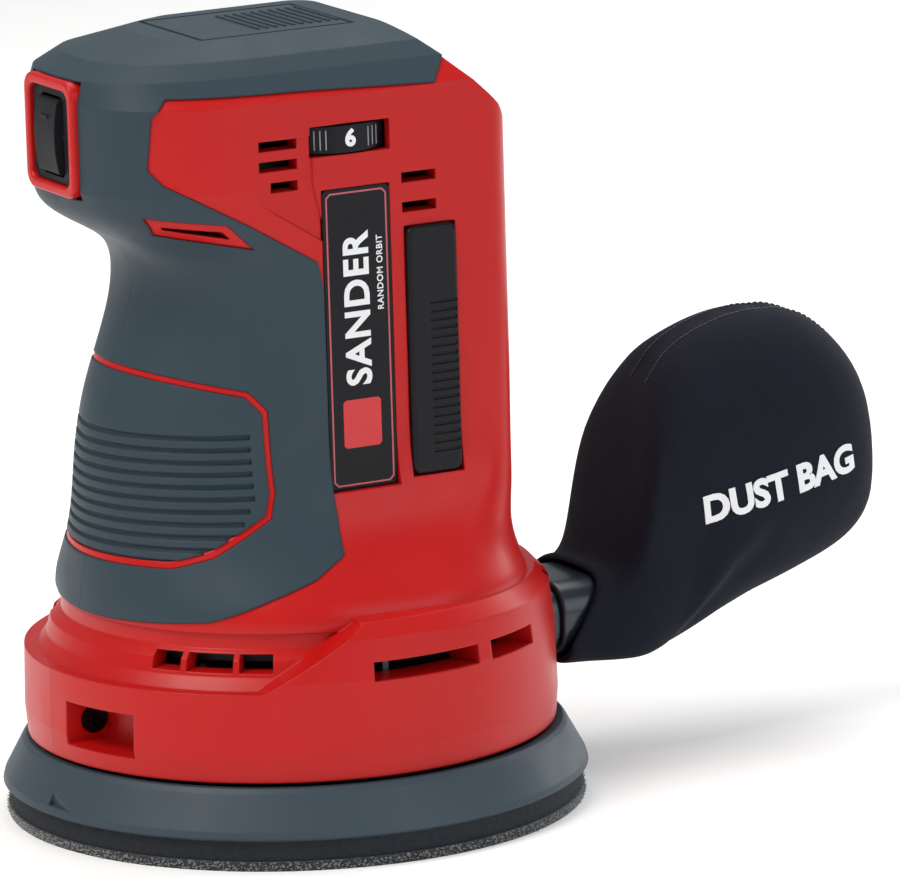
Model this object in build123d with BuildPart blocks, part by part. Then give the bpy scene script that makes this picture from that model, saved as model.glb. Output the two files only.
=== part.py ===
from build123d import *
from math import cos, pi, radians, sin
import os

os.makedirs("parts", exist_ok=True)

# A cordless random orbital sander. The origin is on the motor axis at the sanding face,
# +Z is up, the head and its switch point to -Y, the battery dock and dust bag are at +Y.
# Millimetres and degrees.

# sanding pad
pad_diameter = 125.0
pad_rim_flare = 1.0            # how far the moulded rim stands out past the sanding face
hook_thickness = 2.0
cushion_thickness = 5.0
pad_plate_thickness = 3.6
pad_cone_height = 10.4         # from the rim up to the top edge of the cone
pad_cone_wall = 2.4
pad_cone_inset = 5.3           # how much narrower the cone is at its top
pad_hole_circle = 65.0
pad_hole_diameter = 9.0
pad_hole_count = 8
pad_centre_hole = 17.0
orbit = 1.0                    # eccentric offset, half the orbit diameter

# base skirt
skirt_radius = 57.8
skirt_wall = 3.4
pad_gap = 0.7                  # air between the pad's cone and the skirt
front_shoulder_z = 36.8
side_shoulder_z = 50.4
collar_radius = 48.8
collar_top_z = 52.0

# body
half_width = 33.0
handle_rear = 41.0
head_front = 52.2
throat_front = 34.6
palm_front = 47.0
head_z = 141.0                 # where the nose's underside turns upright
shoulder_z = 159.5             # where the sides start to lean in
brow_z = 164.6                 # where the nose starts to lean back
roof_z = 167.8
crown_z = 170.8
skin = 2.0                     # thickness of the soft overmould
skin_proud = 0.35
wall = 4.6                     # soft skin plus hard shell
dock_depth = 6.5
dock_floor = 2.5

# side trim
label_width, label_height, label_depth = 16.0, 65.0, 1.2
label_y, label_z = 2.3, 107.0
strip_width, strip_height, strip_depth = 12.0, 54.0, 2.2
strip_y, strip_z = 19.8, 102.6
strip_proud = 1.3
trim_gap = 0.15

# switch
bezel_width, bezel_height, bezel_frame = 23.0, 25.2, 2.4
bezel_depth, bezel_proud = 4.0, 1.0
switch_z = 152.0
rocker_width, rocker_height = 9.6, 16.4
rocker_gap = 0.45

# speed dial
window_width, window_height = 19.0, 6.6
dial_y, dial_z = 1.4, 150.1
dial_radius, dial_thickness = 16.0, 5.8
dial_proud = 0.3
dial_gap = 0.4

# motor
shaft_radius = 2.5
motor_z = 58.0
can_radius, can_length, can_wall = 20.5, 50.0, 1.5
nose_radius, nose_length = 10.0, 10.0
end_cap_length = 14.0
magnet_thickness = 2.4
air_gap = 0.7
core_length = 30.0
commutator_radius, commutator_length = 6.0, 9.0

# fan and eccentric
fan_radius = 44.5
fan_disc_z, fan_disc_thickness = 30.5, 2.5
fan_lower_blade, fan_upper_blade = 8.0, 7.0
fan_blades = 14
hub_radius = 17.0
hub_z = 19.6
running_gap = 0.05

# pad bearing, a 12 x 28 x 8 ball bearing
bearing_bore, bearing_outer, bearing_width = 6.0, 14.0, 8.0
# motor bearings, 5 x 16 x 5
small_bearing_outer, small_bearing_width = 8.0, 5.0

# dust port and bag
port_z = 33.0
port_width, port_height = 24.0, 11.6
port_wall, port_radius = 1.6, 4.6
port_start, port_end = 50.0, 73.0
sleeve_gap, sleeve_wall = 0.3, 2.0
sleeve_start, sleeve_end = 60.0, 80.0
bag_half_width = 20.0
bag_front, bag_rear = 70.0, 145.0
bag_bottom, bag_top = 25.0, 93.2
bag_neck_start = 60.5
bag_neck_wall = 3.6

# screws
boss_radius = 3.8
screw_radius = 1.5
screw_head_radius, screw_head_length = 3.0, 2.4


# ------------------------------------------------------------------ helpers
def side_prism(points, radius=0.0, reach=80.0):
    """A prism along X from an outline in (Y, Z), its corners rounded."""
    with BuildPart() as prism:
        with BuildSketch(Plane.YZ):
            with BuildLine():
                Polyline(*points, close=True)
            make_face()
            if radius > 0:
                fillet(vertices(), radius)
        extrude(amount=reach, both=True)
    return prism.part


def ring(outer, inner, low, high, centre=(0.0, 0.0)):
    """A plain ring or disc about a vertical axis."""
    with BuildPart() as washer:
        with BuildSketch(Plane.XY.offset(low)):
            with Locations(centre):
                Circle(outer)
                if inner > 0:
                    Circle(inner, mode=Mode.SUBTRACT)
        extrude(amount=high - low)
    return washer.part


def ring_sector(outer, inner, low, high, start, end):
    """A piece of a ring between two angles, counted from +X."""
    middle = (start + end) / 2
    reach = outer * 2
    with BuildPart() as sector:
        with BuildSketch(Plane.XY.offset(low)):
            with BuildLine():
                Polyline((0, 0), *[(reach * cos(radians(a)), reach * sin(radians(a)))
                                   for a in (start, middle, end)], close=True)
            make_face()
            Circle(outer, mode=Mode.INTERSECT)
            if inner > 0:
                Circle(inner, mode=Mode.SUBTRACT)
        extrude(amount=high - low)
    return sector.part


def turned(profile):
    """A solid of revolution about Z from an outline in (radius, Z)."""
    with BuildPart() as solid:
        with BuildSketch(Plane.XZ):
            with BuildLine():
                Polyline(*profile, close=True)
            make_face()
        revolve(axis=Axis.Z)
    return solid.part


def block(x0, x1, y0, y1, z0, z1):
    """A plain box between two corners."""
    with BuildPart() as solid:
        with Locations(((x0 + x1) / 2, (y0 + y1) / 2, (z0 + z1) / 2)):
            Box(x1 - x0, y1 - y0, z1 - z0)
    return solid.part


def rod_x(radius, x0, x1, y, z):
    """A cylinder along X."""
    with BuildPart() as solid:
        with BuildSketch(Plane.YZ.offset(x0)):
            with Locations((y, z)):
                Circle(radius)
        extrude(amount=x1 - x0)
    return solid.part


def port_tube(width, height, radius, y0, y1):
    """A rounded rectangular bar along Y at the dust port."""
    plane = Plane(origin=(0, y0, port_z), x_dir=(-1, 0, 0), z_dir=(0, 1, 0))
    with BuildPart() as solid:
        with BuildSketch(plane):
            RectangleRounded(width, height, radius)
        extrude(amount=y1 - y0)
    return solid.part


def keep(name, part):
    """Labels a finished piece and writes its file."""
    part.label = name
    export_step(part, f"parts/{name}.step")


# ------------------------------------------------------------------ body shape
# Horizontal sections of the body: height, half width, reach to the front, reach to the
# rear, rear corner radius, centre of the front curve, and the power that squares it.
body_sections = [
    (48.0, 50.0, 49.6, 48.0, 42.0, 0.0, 2.0),
    (55.0, 47.3, 49.0, 45.5, 34.0, -1.0, 2.0),
    (62.0, 41.0, palm_front + 1.0, 43.0, 24.0, -3.0, 2.0),
    (70.0, 36.0, palm_front + 0.3, handle_rear + 0.5, 13.0, -5.0, 2.0),
    (80.0, half_width + 0.4, palm_front - 0.4, handle_rear, 8.0, -6.0, 2.0),
    (95.0, half_width, palm_front - 4.0, handle_rear, 7.0, -6.0, 2.0),
    (108.0, half_width, throat_front + 2.8, handle_rear, 7.0, -6.0, 2.0),
    (118.0, half_width, throat_front, handle_rear, 7.0, -6.0, 2.05),
    (124.0, half_width, throat_front + 0.8, handle_rear, 7.0, -6.0, 2.15),
    (130.0, half_width, throat_front + 7.6, handle_rear, 7.0, -6.0, 2.4),
    (136.0, half_width, head_front - 1.8, handle_rear, 7.0, -6.0, 2.7),
    (head_z, half_width, head_front, handle_rear, 7.0, -6.0, 2.8),
]
head_sections = [
    (head_z, half_width, head_front, handle_rear, 7.0, -6.0, 2.8),
    (shoulder_z, half_width, head_front, handle_rear, 7.0, -6.0, 2.8),
    (brow_z, half_width - 4.4, head_front - 0.8, handle_rear - 5.0, 7.0, -6.0, 2.8),
    (roof_z, half_width - 7.8, head_front - 6.4, handle_rear - 12.0, 6.0, -6.0, 2.8),
    (crown_z, half_width - 14.5, head_front - 22.0, handle_rear - 23.0, 5.0, -6.0, 2.8),
]
# the slope at the top of the body's rear, in (Y, Z)
rear_slope = [(17.0, 172.0), (26.0, 164.4), (37.8, 153.4), (41.6, 147.6)]
slope_inset = 1.35             # how far the slope drops for each mm that the walls move in


def body_section(z, width, front, rear, corner, centre, power):
    """One closed section: a squared half ellipse in front, rounded corners behind."""
    count = 8
    nose = []
    for i in range(count + 1):
        c, s = cos(pi * i / count), sin(pi * i / count)
        x = width * abs(c) ** (2 / power) * (1 if c >= 0 else -1)
        nose.append((x, centre - (front + centre) * abs(s) ** (2 / power)))
    k = corner * (1 - cos(pi / 4))
    with BuildSketch(Plane.XY.offset(z)) as section:
        with BuildLine():
            Spline(*nose, tangents=[(0, -1), (0, 1)])
            Line((-width, centre), (-width, rear - corner))
            ThreePointArc((-width, rear - corner), (-width + k, rear - k),
                          (-width + corner, rear))
            Line((-width + corner, rear), (width - corner, rear))
            ThreePointArc((width - corner, rear), (width - k, rear - k),
                          (width, rear - corner))
            Line((width, rear - corner), (width, centre))
        make_face()
    return section.sketch


def inset_section(values, inset, back, level):
    """A body section moved in by inset, and by back at the rear."""
    z, width, front, rear, corner, centre, power = values
    return body_section(level, width - inset, front - inset, rear - back,
                        max(corner - inset, 1.0), centre, power)


def body_solid(inset, back=None):
    """The whole body, every wall moved in by inset, the rear one by back."""
    back = inset if back is None else back
    with BuildPart() as solid:
        loft(sections=[inset_section(v, inset, back, v[0]) for v in body_sections])
        for lower, upper in zip(head_sections, head_sections[1:]):
            loft(sections=[inset_section(v, inset, back,
                                         v[0] - (inset if v[0] > shoulder_z else 0))
                           for v in (lower, upper)], ruled=True)
        slope = [(y, z - slope_inset * inset) for y, z in rear_slope]
        add(side_prism(slope + [(60, slope[-1][1]), (60, 200), (slope[0][0], 200)]),
            mode=Mode.SUBTRACT)
    return solid.part


body_outer = body_solid(0.0)
body_soft = body_solid(-skin_proud)
body_middle = body_solid(skin)
body_inner = body_solid(wall, dock_depth + dock_floor)

# ------------------------------------------------------------------ base shape
skirt_bottom = (hook_thickness + cushion_thickness - 0.5) + pad_cone_height + pad_gap
base_plate_z = skirt_bottom + 0.9
base_plate_top = base_plate_z + 1.7
skirt_low = turned([
    (0, skirt_bottom), (skirt_radius - 0.5, skirt_bottom), (skirt_radius, skirt_bottom + 6),
    (skirt_radius - 0.8, front_shoulder_z - 3), (skirt_radius - 3.2, front_shoulder_z),
    (skirt_radius - 5.2, front_shoulder_z + 2.6), (skirt_radius - 6.2, front_shoulder_z + 6),
    (collar_radius + 0.4, front_shoulder_z + 8), (collar_radius, collar_top_z),
    (0, collar_top_z)])
skirt_high = turned([
    (0, skirt_bottom), (skirt_radius - 0.5, skirt_bottom), (skirt_radius, skirt_bottom + 6),
    (skirt_radius - 0.4, front_shoulder_z + 2), (skirt_radius - 1.4, side_shoulder_z - 3.2),
    (skirt_radius - 4.4, side_shoulder_z), (collar_radius, side_shoulder_z + 0.8),
    (collar_radius, collar_top_z), (0, collar_top_z)])
front_step = side_prism([
    (-80, front_shoulder_z), (-31, front_shoulder_z), (-10, side_shoulder_z - 0.6),
    (-10, 70), (-80, 70)])
base_inner = turned([
    (0, skirt_bottom - 5), (skirt_radius - skirt_wall, skirt_bottom - 5),
    (skirt_radius - skirt_wall, front_shoulder_z - 3),
    (collar_radius - 0.5, front_shoulder_z + 2), (collar_radius - 3.2, front_shoulder_z + 7),
    (collar_radius - 3.2, collar_top_z + 1), (0, collar_top_z + 1)])

# ------------------------------------------------------------------ regions on the side
soft_region = side_prism([
    (-90, 40), (-50, 48.6), (-36, 50.6), (-25, 55.0), (-15, 58.4), (-7, 62.5), (-6, 70),
    (-6, 118.5), (-7.2, 124.4), (-23, 134.0), (-40, 143.6), (-42.8, 147), (-41.8, 158),
    (-38.5, 161.8), (-10, 161.2), (22, 159.8), (26, 164.5), (30, 190), (-90, 190)])
panel_points = [
    (-90, 104.5), (-46, 101.5), (-31, 98.3), (-23.5, 96.6), (-20.4, 93), (-20.0, 76),
    (-21.4, 71.4), (-33, 64.4), (-40, 62.0), (-90, 60.5)]
slot_points = [(-43.4, 136.6), (-40.2, 132.4), (-21.0, 128.4), (-27.2, 134.4)]


def grown_prism(points, amount):
    """The prism of an outline made larger or smaller all round."""
    with BuildPart() as prism:
        with BuildSketch(Plane.YZ):
            with BuildLine():
                Polyline(*points, close=True)
            make_face()
            offset(amount=amount, kind=Kind.INTERSECTION)
        extrude(amount=80, both=True)
    return prism.part


line_width = 1.3
panel_region = grown_prism(panel_points, -0.1)
panel_line_region = grown_prism(panel_points, line_width)
slot_opening = grown_prism(slot_points, -1.6)
slot_frame_region = grown_prism(slot_points, 0.0)

# ------------------------------------------------------------------ housing
skirt_full = skirt_low + (skirt_high - front_step)
soft_skin = soft_region - [panel_line_region, slot_frame_region]

# screw positions, (Y, Z), and how far each boss reaches to either side
body_screws = [(-25.0, 160.0), (22.0, 155.5), (-26.5, 127.0), (27.5, 64.2), (-33.5, 64.0)]
front_base_screw = (-50.6, 26.0)
rear_base_screw = (48.2, 45.4)
base_screws = [front_base_screw, rear_base_screw]
recess_floor_x = 6.5
boss_reach = half_width - wall + 1
boss_head = 9.0                # depth of a screw's head from the parting plane

bosses = [rod_x(boss_radius, -boss_reach, boss_reach, y, z) & body_middle
          for y, z in body_screws]
base_boss_reach = 11.0
base_bosses = [rod_x(boss_radius + 0.6, -base_boss_reach, recess_floor_x, y, z)
               for y, z in base_screws]
recess_low, recess_high = front_base_screw[1] - 4.6, front_base_screw[1] + 4.8
recess_block = block(recess_floor_x - 2, 29, -60, -38, base_plate_top + 0.1, recess_high + 2)
recess_block &= skirt_full - ring(fan_radius + 2.2, 0, 0, 70)
recess_cut = block(recess_floor_x, 26.5, -62, -36, recess_low, recess_high)
recess_cut -= ring(fan_radius + 4.2, 0, 0, 70)

# battery dock: a stepped slot that opens at the top, its lips hold the pack's flanges
dock_half, dock_lip = 25.5, 4.0
dock_low = 64.0
lip_thickness = 2.6
dock_face_y = handle_rear - dock_depth
terminal_window = block(-12, 12, 20, dock_face_y + 1, 72, 94)
dock_cuts = [
    block(-dock_half, dock_half, handle_rear - dock_depth, handle_rear - lip_thickness,
          dock_low, 200),
    block(-dock_half + dock_lip, dock_half - dock_lip, handle_rear - lip_thickness - 1,
          handle_rear + 9, dock_low, 200)]

# vents in the base, the same on both sides
vent_low, vent_high = 40.2, 43.9
side_vent_low, side_vent_high = 38.3, 42.4
front_vents = [(-61, -53.5), (-52, -40.5), (-39, -31)]
side_vents = [(-9, 17.5), (21.5, 38)]
vent_cuts = []
for spans, low, high in ((front_vents, vent_low, vent_high),
                         (side_vents, side_vent_low, side_vent_high)):
    for start, end in spans:
        vent_cuts.append(ring_sector(70, collar_radius - 8, low, high, start, end))
        vent_cuts.append(ring_sector(70, collar_radius - 8, low, high, 180 - end, 180 - start))

# louvres on both sides of the dial, cut through the side walls
slot_height = 2.2
head_slots = [(-20, -11, 150.4), (-20, -11, 146.0), (-17.4, -11, 141.4),
              (13.4, 21.6, 140.2), (13.4, 21.6, 133.8)]
slot_cuts = []
for side in (1, -1):
    near, far = sorted((side * (half_width - wall - 1), side * 40))
    for y0, y1, z in head_slots:
        slot_cuts.append(block(near, far, y0, y1, z - slot_height / 2, z + slot_height / 2))
slot_cuts.append(slot_opening - block(-16, 16, -70, 0, 120, 145))

# a shallow facet round the louvres, in (Y, Z), on both sides
facet_points = [(-28.6, 143.6), (-28.2, 149.6), (-7.6, 151.8), (-7.6, 141.4), (-4.6, 128.0)]
facet_depth = 0.5
facet_cut = grown_prism(facet_points, 0.0) - block(-(half_width - facet_depth),
                                                   half_width - facet_depth, -60, 60, 100, 180)

# rooms for the label plates and the grip strips
side_face = half_width - 0.05


def plate_block(side, depth, top, y, width, z, height):
    """A block set into the side wall, from depth below its face to top above it."""
    near, far = sorted((side * (side_face - depth), side * (side_face + top)))
    return block(near, far, y - width / 2, y + width / 2, z - height / 2, z + height / 2)


trim_cuts = []
for side in (1, -1):
    trim_cuts.append(plate_block(side, label_depth, 6, label_y, label_width + 2 * trim_gap,
                                 label_z, label_height + 2 * trim_gap))
    trim_cuts.append(plate_block(side, strip_depth, 6, strip_y, strip_width + 2 * trim_gap,
                                 strip_z, strip_height + 2 * trim_gap))

# the dial's window and the pocket that its rim turns in, on the left side only
dial_x = half_width - dial_radius + dial_proud
dial_pocket = ring(dial_radius + dial_gap, 0, dial_z - dial_thickness / 2 - dial_gap,
                   dial_z + dial_thickness / 2 + dial_gap, (dial_x, dial_y))
dial_pocket &= block(0, half_width - 1.4, -40, 40, 100, 180)
dial_window = block(half_width - 8, half_width + 5, dial_y - window_width / 2,
                    dial_y + window_width / 2, dial_z - window_height / 2,
                    dial_z + window_height / 2)

# the switch opening in the nose
nose_y = -head_front
window_half_width = bezel_width / 2 - bezel_frame
window_half_height = bezel_height / 2 - bezel_frame
switch_cuts = [
    block(-bezel_width / 2, bezel_width / 2, nose_y - 5, nose_y + bezel_depth,
          switch_z - bezel_height / 2, switch_z + bezel_height / 2),
    block(-window_half_width - 0.2, window_half_width + 0.2, nose_y - 5, nose_y + 9,
          switch_z - window_half_height - 0.2, switch_z + window_half_height + 0.2)]

# the dust port's way out
port_hole = port_tube(port_width + 0.3, port_height + 0.3, port_radius, 44, 70)

# screw holes: heads sink in from the right side, and from the left in the base
screw_cuts = []
for y, z in body_screws:
    screw_cuts.append(rod_x(screw_radius, -boss_head - 1, boss_head + 3, y, z))
    screw_cuts.append(rod_x(screw_head_radius + 0.3, -50, -boss_head, y, z))
for y, z in base_screws:
    screw_cuts.append(rod_x(screw_radius, -base_boss_reach + 2, recess_floor_x, y, z))
    screw_cuts.append(rod_x(screw_head_radius + 0.2, recess_floor_x - screw_head_length,
                            recess_floor_x + 20, y, z))

shell = (body_outer - [soft_skin, panel_region]) + [body_middle, skirt_full]
shell -= [body_inner, base_inner]
shell += bosses + base_bosses + [recess_block]
shell -= (dock_cuts + vent_cuts + slot_cuts + trim_cuts + switch_cuts + screw_cuts
          + [recess_cut, dial_pocket, dial_window, port_hole, terminal_window, facet_cut])

with BuildPart() as housing_left:
    add(shell)
    split(bisect_by=Plane.YZ, keep=Keep.TOP)
with BuildPart() as housing_right:
    add(shell)
    split(bisect_by=Plane.YZ, keep=Keep.BOTTOM)
keep("housing_left", housing_left.part)
keep("housing_right", housing_right.part)

# ------------------------------------------------------------------ soft covers
# The grip cover is moulded round each half; the palm panel is one ribbed piece in front.
roof_groove = block(-15, 15, -24, 13, crown_z - 0.4, crown_z + 2) \
    - block(-14, 14, -23, 12, 150, 190)
soft = (body_soft & soft_skin) - [body_middle, skirt_full, roof_groove] \
    - switch_cuts - screw_cuts - dock_cuts
with BuildPart() as grip_left:
    add(soft)
    split(bisect_by=Plane.YZ, keep=Keep.TOP)
with BuildPart() as grip_right:
    add(soft)
    split(bisect_by=Plane.YZ, keep=Keep.BOTTOM)
keep("grip_cover_left", grip_left.part)
keep("grip_cover_right", grip_right.part)

rib_pitch, rib_groove, rib_depth = 2.6, 1.1, 0.7
rib_count = 11
rib_low = 61.5
rib_cuts = []
for i in range(rib_count):
    z = rib_low + i * rib_pitch
    rear = min(-23.0, -30.0 + (z - rib_low) * 0.55)
    rib_cuts.append(block(-60, 60, -80, rear, z, z + rib_groove))
rib_shell = (body_soft & block(-60, 60, -80, -20, rib_low - 1, rib_low + 40)) \
    - body_solid(rib_depth - skin_proud)
palm = (body_soft & panel_region) - body_middle
palm -= [rib_shell & cut for cut in rib_cuts]
keep("palm_panel", palm)

# ------------------------------------------------------------------ side trim
for side, hand in ((1, "left"), (-1, "right")):
    with BuildPart() as label:
        add(plate_block(side, label_depth, 0.1, label_y, label_width, label_z, label_height))
        chamfer(label.edges().filter_by(Axis.X), 0.8)
    keep(f"label_plate_{hand}", label.part)

    with BuildPart() as strip:
        add(plate_block(side, strip_depth, strip_proud, strip_y, strip_width,
                        strip_z, strip_height))
        fillet(strip.edges().filter_by(Axis.X), 2.0)
        outer_face = strip.faces().sort_by(Axis.X)[-1 if side > 0 else 0]
        fillet(outer_face.edges(), 1.1)
        face_x = side * (side_face + strip_proud)
        for i in range(18):
            z = strip_z - strip_height / 2 + 5 + i * 1.9
            with Locations((face_x, strip_y + 2.2, z)):
                Box(0.9, strip_width - 5.5, 0.8, mode=Mode.SUBTRACT)
    keep(f"side_strip_{hand}", strip.part)

# ------------------------------------------------------------------ switch
def front_plane(y):
    """A drawing plane across the switch at one place along Y, facing the front."""
    return Plane(origin=(0, y, switch_z), x_dir=(1, 0, 0), z_dir=(0, -1, 0))


with BuildPart() as bezel:
    with BuildSketch(front_plane(nose_y + bezel_depth - trim_gap)):
        RectangleRounded(bezel_width - 0.2, bezel_height - 0.2, 3.6)
        RectangleRounded(2 * window_half_width, 2 * window_half_height, 2.2,
                         mode=Mode.SUBTRACT)
    extrude(amount=bezel_depth - trim_gap + bezel_proud)
    fillet(bezel.faces().sort_by(Axis.Y)[0].edges(), 0.7)
keep("switch_bezel", bezel.part)

panel_front, panel_back = nose_y + 0.2, nose_y + bezel_depth + 0.2
panel_gap = 0.15
with BuildPart() as panel:
    with BuildSketch(front_plane(panel_back)):
        RectangleRounded(2 * (window_half_width - panel_gap),
                         2 * (window_half_height - panel_gap), 2.0)
        RectangleRounded(rocker_width + 2 * rocker_gap, rocker_height + 2 * rocker_gap, 1.4,
                         mode=Mode.SUBTRACT)
    extrude(amount=panel_back - panel_front)
keep("switch_panel", panel.part)

rocker_edge, rocker_crest = nose_y - 0.9, nose_y - 1.9
rocker_foot = nose_y + 5.6
rocker_pivot_y = nose_y + 1.0
rocker_pin = rocker_width / 2 + rocker_gap - 0.1
rocker_half = rocker_height / 2
with BuildPart() as rocker:
    with BuildSketch(Plane.YZ.offset(-rocker_width / 2)):
        with BuildLine():
            top = (rocker_edge, switch_z + rocker_half)
            low = (rocker_edge, switch_z - rocker_half)
            ThreePointArc(top, (rocker_crest, switch_z), low)
            Polyline(low, (rocker_foot - 2, switch_z - rocker_half + 1.0),
                     (rocker_foot, switch_z - 3), (rocker_foot, switch_z + 3),
                     (rocker_foot - 2, switch_z + rocker_half - 1.0), top)
        make_face()
    extrude(amount=rocker_width)
    fillet(rocker.edges().filter_by(Axis.X).sort_by(Axis.Y)[:2], 1.0)
    with Locations((0, rocker_crest + 0.2, switch_z + 4.2)):
        Box(3.2, 0.5, 0.8)
    add(rod_x(0.9, -rocker_pin, rocker_pin, rocker_pivot_y, switch_z))
keep("switch_rocker", rocker.part)

switch_rear = nose_y + 22.0
with BuildPart() as switch_body:
    add(block(-9.0, 9.0, panel_back, switch_rear, switch_z - 7.5, switch_z + 7.5))
    add(block(-rocker_width / 2 - 0.4, rocker_width / 2 + 0.4, panel_back - 1,
              rocker_foot + 1.4, switch_z - 9, switch_z + 9), mode=Mode.SUBTRACT)
    with Locations((4.5, switch_rear, switch_z - 1), (-4.5, switch_rear, switch_z - 5)):
        Box(0.8, 9, 4.0)
keep("switch_body", switch_body.part)

# ------------------------------------------------------------------ speed dial
with BuildPart() as dial:
    with BuildSketch(Plane.XY.offset(dial_z - dial_thickness / 2)):
        with Locations((dial_x, dial_y)):
            Circle(dial_radius)
            Circle(2.0 + running_gap, mode=Mode.SUBTRACT)
    extrude(amount=dial_thickness)
    with BuildSketch(Plane.XY.offset(dial_z + dial_thickness / 2 - 2.2)):
        with Locations((dial_x, dial_y)):
            Circle(dial_radius - 2.5)
            Circle(4.5, mode=Mode.SUBTRACT)
    extrude(amount=3, mode=Mode.SUBTRACT)
    with Locations((dial_x, dial_y, dial_z)):
        with PolarLocations(dial_radius + 0.05, 60, start_angle=62, angular_range=130):
            Box(0.7, 0.35, dial_thickness - 1.6, mode=Mode.SUBTRACT)
keep("speed_dial", dial.part)

board_z = dial_z - dial_thickness / 2 - 3.6
with BuildPart() as potentiometer:
    add(ring(2.0, 0, board_z + 1.6, dial_z + dial_thickness / 2 + 0.8, (dial_x, dial_y)))
    add(ring(5.0, 0, board_z + 1.6, board_z + 3.2, (dial_x, dial_y)))
keep("potentiometer", potentiometer.part)

with BuildPart() as board:
    add(block(-24, 24, -18, 22, board_z, board_z + 1.6))
    with Locations((-18, -12, board_z + 3.6), (-18, 2, board_z + 3.6)):
        Cylinder(3.4, 7.0 - 3)
    with Locations((-6, 14, board_z + 2.9)):
        Box(12, 8, 2.6)
    with Locations((0, -11, board_z + 2.5)):
        Box(8, 6, 1.8)
keep("control_board", board.part)

# ------------------------------------------------------------------ motor
nose_z = motor_z - nose_length
can_top = motor_z + can_length
with BuildPart() as can:
    add(ring(can_radius, 0, motor_z, can_top))
    add(ring(can_radius - can_wall, 0, motor_z + 2, can_top + 1), mode=Mode.SUBTRACT)
    add(ring(nose_radius, 0, nose_z, motor_z))
    add(ring(small_bearing_outer, 0, nose_z - 1, nose_z + small_bearing_width), mode=Mode.SUBTRACT)
    add(ring(shaft_radius + 1.5, 0, nose_z, motor_z + 3), mode=Mode.SUBTRACT)
    with Locations((0, 0, motor_z)):
        with PolarLocations(15.5, 4):
            Cylinder(2.6, 8, mode=Mode.SUBTRACT)
keep("motor_can", can.part)

end_cap_top = can_top + end_cap_length
with BuildPart() as end_cap:
    add(ring(can_radius, 0, can_top, end_cap_top))
    add(ring(can_radius - 3, 0, can_top - 1, end_cap_top - 6), mode=Mode.SUBTRACT)
    add(ring(small_bearing_outer, 0, end_cap_top - 7, end_cap_top - 1.2), mode=Mode.SUBTRACT)
    add(ring(shaft_radius + 1.2, 0, can_top, end_cap_top + 1), mode=Mode.SUBTRACT)
    with Locations((0, 0, end_cap_top)):
        with PolarLocations(14.5, 6):
            Cylinder(2.2, 14, mode=Mode.SUBTRACT)
keep("motor_end_cap", end_cap.part)

magnet_outer = can_radius - can_wall
magnet_inner = magnet_outer - magnet_thickness
with BuildPart() as magnets:
    for start in (-65, 115):
        add(ring_sector(magnet_outer, magnet_inner, motor_z + 5, motor_z + 43, start, start + 130))
keep("motor_magnets", magnets.part)

core_low = motor_z + 9
core_radius = magnet_inner - air_gap
with BuildPart() as core:
    add(ring(core_radius, shaft_radius, core_low, core_low + core_length))
    with Locations((0, 0, core_low + core_length / 2)):
        with PolarLocations(core_radius - 3, 12):
            Box(8, 2.0, core_length, mode=Mode.SUBTRACT)
keep("rotor_core", core.part)

with BuildPart() as windings:
    for low in (core_low - 6, core_low + core_length):
        add(ring(core_radius - 1.5, 5.5, low, low + 6))
    fillet(windings.edges().filter_by(GeomType.CIRCLE), 1.6)
    with Locations((0, 0, core_low + core_length / 2)):
        with PolarLocations(core_radius - 4, 12):
            Box(5.0, 1.9, core_length)
keep("rotor_windings", windings.part)

commutator_low = can_top - 3
with BuildPart() as commutator:
    add(ring(commutator_radius, shaft_radius, commutator_low, commutator_low + commutator_length))
    with Locations((0, 0, commutator_low + commutator_length / 2)):
        with PolarLocations(commutator_radius, 12):
            Box(0.8, 0.4, commutator_length - 1, mode=Mode.SUBTRACT)
keep("commutator", commutator.part)

hub_top = fan_disc_z + fan_disc_thickness + fan_upper_blade
shaft_low = hub_z + bearing_width + 2.4
keep("motor_shaft", ring(shaft_radius, 0, shaft_low, end_cap_top - 0.6))

brush_z = commutator_low + commutator_length / 2
with BuildPart() as brushes:
    for side in (1, -1):
        near, far = sorted((side * (commutator_radius + running_gap), side * 14.0))
        add(block(near, far, -2.4, 2.4, brush_z - 2, brush_z + 2))
    add(ring(commutator_radius + running_gap, 0, 0, 200), mode=Mode.SUBTRACT)
keep("motor_brushes", brushes.part)
with BuildPart() as brush_holders:
    for side in (1, -1):
        near, far = sorted((side * 9.5, side * (can_radius - 3.35)))
        add(block(near, far, -3.4, 3.4, brush_z - 3, brush_z + 3))
        near, far = sorted((side * 9.0, side * 14.0))
        add(block(near, far, -2.4, 2.4, brush_z - 2, brush_z + 2), mode=Mode.SUBTRACT)
keep("brush_holders", brush_holders.part)


def ball_bearing(low, bore, outer, width, balls, centre=(0.0, 0.0)):
    """Inner race, outer race and balls of a bearing, as three parts."""
    x, y = centre
    pitch = (bore + outer) / 2
    ball = (outer - bore) * 0.26
    middle = low + width / 2
    with BuildPart() as groove:
        with BuildSketch(Plane(origin=(x, y, middle), x_dir=(1, 0, 0), z_dir=(0, -1, 0))):
            with Locations((pitch, 0)):
                Circle(ball + running_gap)
        revolve(axis=Axis((x, y, 0), (0, 0, 1)))
    inner = ring(pitch - ball * 0.55, bore, low, low + width, centre) - groove.part
    outside = ring(outer, pitch + ball * 0.55, low, low + width, centre) - groove.part
    with BuildPart() as rolling:
        with Locations((x, y, middle)):
            with PolarLocations(pitch, balls):
                Sphere(ball)
    return inner, outside, rolling.part


for name, low in (("lower", nose_z), ("upper", end_cap_top - 1.2 - small_bearing_width)):
    inner, outside, rolling = ball_bearing(low, shaft_radius, small_bearing_outer,
                                           small_bearing_width, 7)
    keep(f"motor_bearing_{name}_inner", inner)
    keep(f"motor_bearing_{name}_outer", outside + rolling)

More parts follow.
